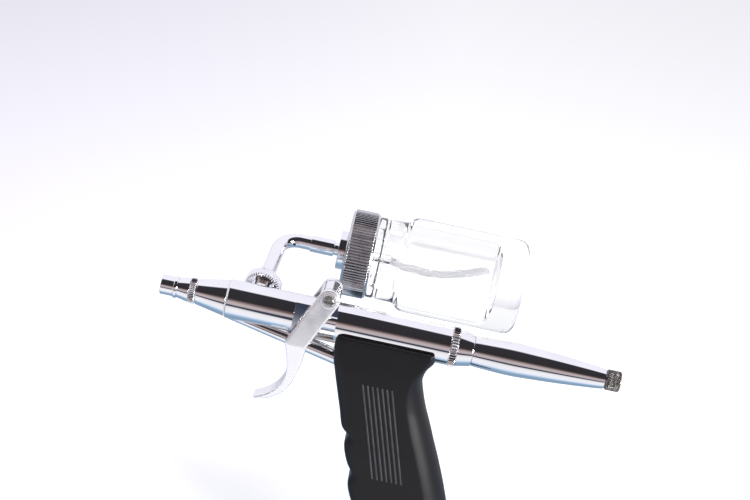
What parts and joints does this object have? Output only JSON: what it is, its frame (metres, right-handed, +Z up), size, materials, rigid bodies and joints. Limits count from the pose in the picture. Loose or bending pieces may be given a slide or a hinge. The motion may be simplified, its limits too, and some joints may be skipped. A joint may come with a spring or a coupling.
{
  "type": "airbrush gun",
  "caption": "Pistol-grip side-feed airbrush gun: chrome barrel with fork trigger, raked black grip, glass colour jar on a bent feed tube, tail handle with travel-limit knob.",
  "frame": {"origin": "on the barrel's axis, at the front face of the needle cap", "axes": "+X back along the barrel, +Y to the jar side, +Z up, away from the grip"},
  "size_m": [0.1793, 0.0713, 0.1403],
  "materials": {
    "chrome": "polished chrome plate",
    "satin_chrome": "satin chrome plate",
    "lid_chrome": "chrome plate, finely ridged",
    "dark_metal": "dark gunmetal, knurled",
    "grip_plastic": "matte black moulding",
    "glass": "clear moulded glass",
    "clear_tube": "clear soft plastic",
    "brass": "bright turned brass",
    "steel": "bright steel",
    "ptfe": "white low-friction plastic",
    "rubber": "black rubber"
  },
  "bodies": {
    "gun": {"main_body": "chrome", "needle_cap": "chrome", "air_cap": "chrome", "fluid_nozzle": "brass", "head_ring": "chrome", "fluid_head": "chrome", "head_seal": "ptfe", "air_tube": "chrome", "needle_packing": "ptfe", "packing_screw": "brass", "spring_guide": "brass", "needle_spring": "steel", "rear_ring": "chrome", "handle_collar": "chrome", "tail_handle": "chrome", "pivot_screw": "steel", "pivot_nut": "steel", "valve_packing": "ptfe", "valve_seat": "brass", "valve_spring": "steel", "valve_plug": "brass", "grip": "grip_plastic", "air_riser": "brass", "grip_washer": "rubber", "hose_fitting": "chrome", "feed_seal": "ptfe"},
    "trigger": {"trigger": "satin_chrome", "needle_push_pin": "steel", "valve_push_pin": "steel"},
    "needle": {"needle_tube": "chrome", "chuck_nut": "chrome", "needle": "steel"},
    "valve": {"valve_rod": "steel", "valve_seal": "rubber"},
    "limit_stem": {"limit_stem": "steel"},
    "limit_knob": {"limit_knob": "dark_metal"},
    "feed": {"feed_elbow": "chrome", "lid_boss": "chrome", "lid_nut": "brass", "jar_lid": "lid_chrome", "lid_gasket": "rubber", "siphon_stub": "chrome", "siphon_tube": "clear_tube"},
    "union_nut": {"union_nut": "chrome"},
    "jar": {"jar": "glass"}
  },
  "joints": [
    {"name": "trigger_pull", "type": "hinge", "parent": "gun", "child": "trigger", "pos_m": [0.0642, 0, 0.0103], "axis": [0, -1, 0], "range_deg": [0, 18], "stiffness_Nm_per_rad": 0.4, "springref_deg": -11.46},
    {"name": "needle_slide", "type": "slide", "parent": "gun", "child": "needle", "axis": [1, 0, 0], "range_m": [0, 0.00435], "deforming": ["needle_spring"]},
    {"name": "valve_slide", "type": "slide", "parent": "gun", "child": "valve", "axis": [1, 0, 0], "range_m": [0, 0.0056], "deforming": ["valve_spring"]},
    {"name": "stem_creep", "type": "slide", "parent": "gun", "child": "limit_stem", "axis": [1, 0, 0], "range_m": [0, 0.0021]},
    {"name": "knob_turn", "type": "hinge", "parent": "limit_stem", "child": "limit_knob", "pos_m": [0.1738, 0, 0], "axis": [1, 0, 0], "range_deg": [0, 1085]},
    {"name": "feed_swivel", "type": "hinge", "parent": "gun", "child": "feed", "pos_m": [0.03745, 0.01138, 0.00414], "axis": [0.0785, 0.9368, 0.341], "range_deg": [-180, 180]},
    {"name": "union_turn", "type": "hinge", "parent": "gun", "child": "union_nut", "pos_m": [0.03745, 0.01138, 0.00414], "axis": [0.0785, 0.9368, 0.341], "range_deg": [0, 360]},
    {"name": "jar_off", "type": "slide", "parent": "feed", "child": "jar", "axis": [1, 0, 0], "range_m": [0, 0.075]}
  ],
  "couplings": [
    {"joint": "needle_slide", "follows": "trigger_pull", "m_per_rad": 0.0137},
    {"joint": "valve_slide", "follows": "trigger_pull", "m_per_rad": 0.01766},
    {"joint": "knob_turn", "follows": "stem_creep", "rad_per_m": 8975.9}
  ]
}
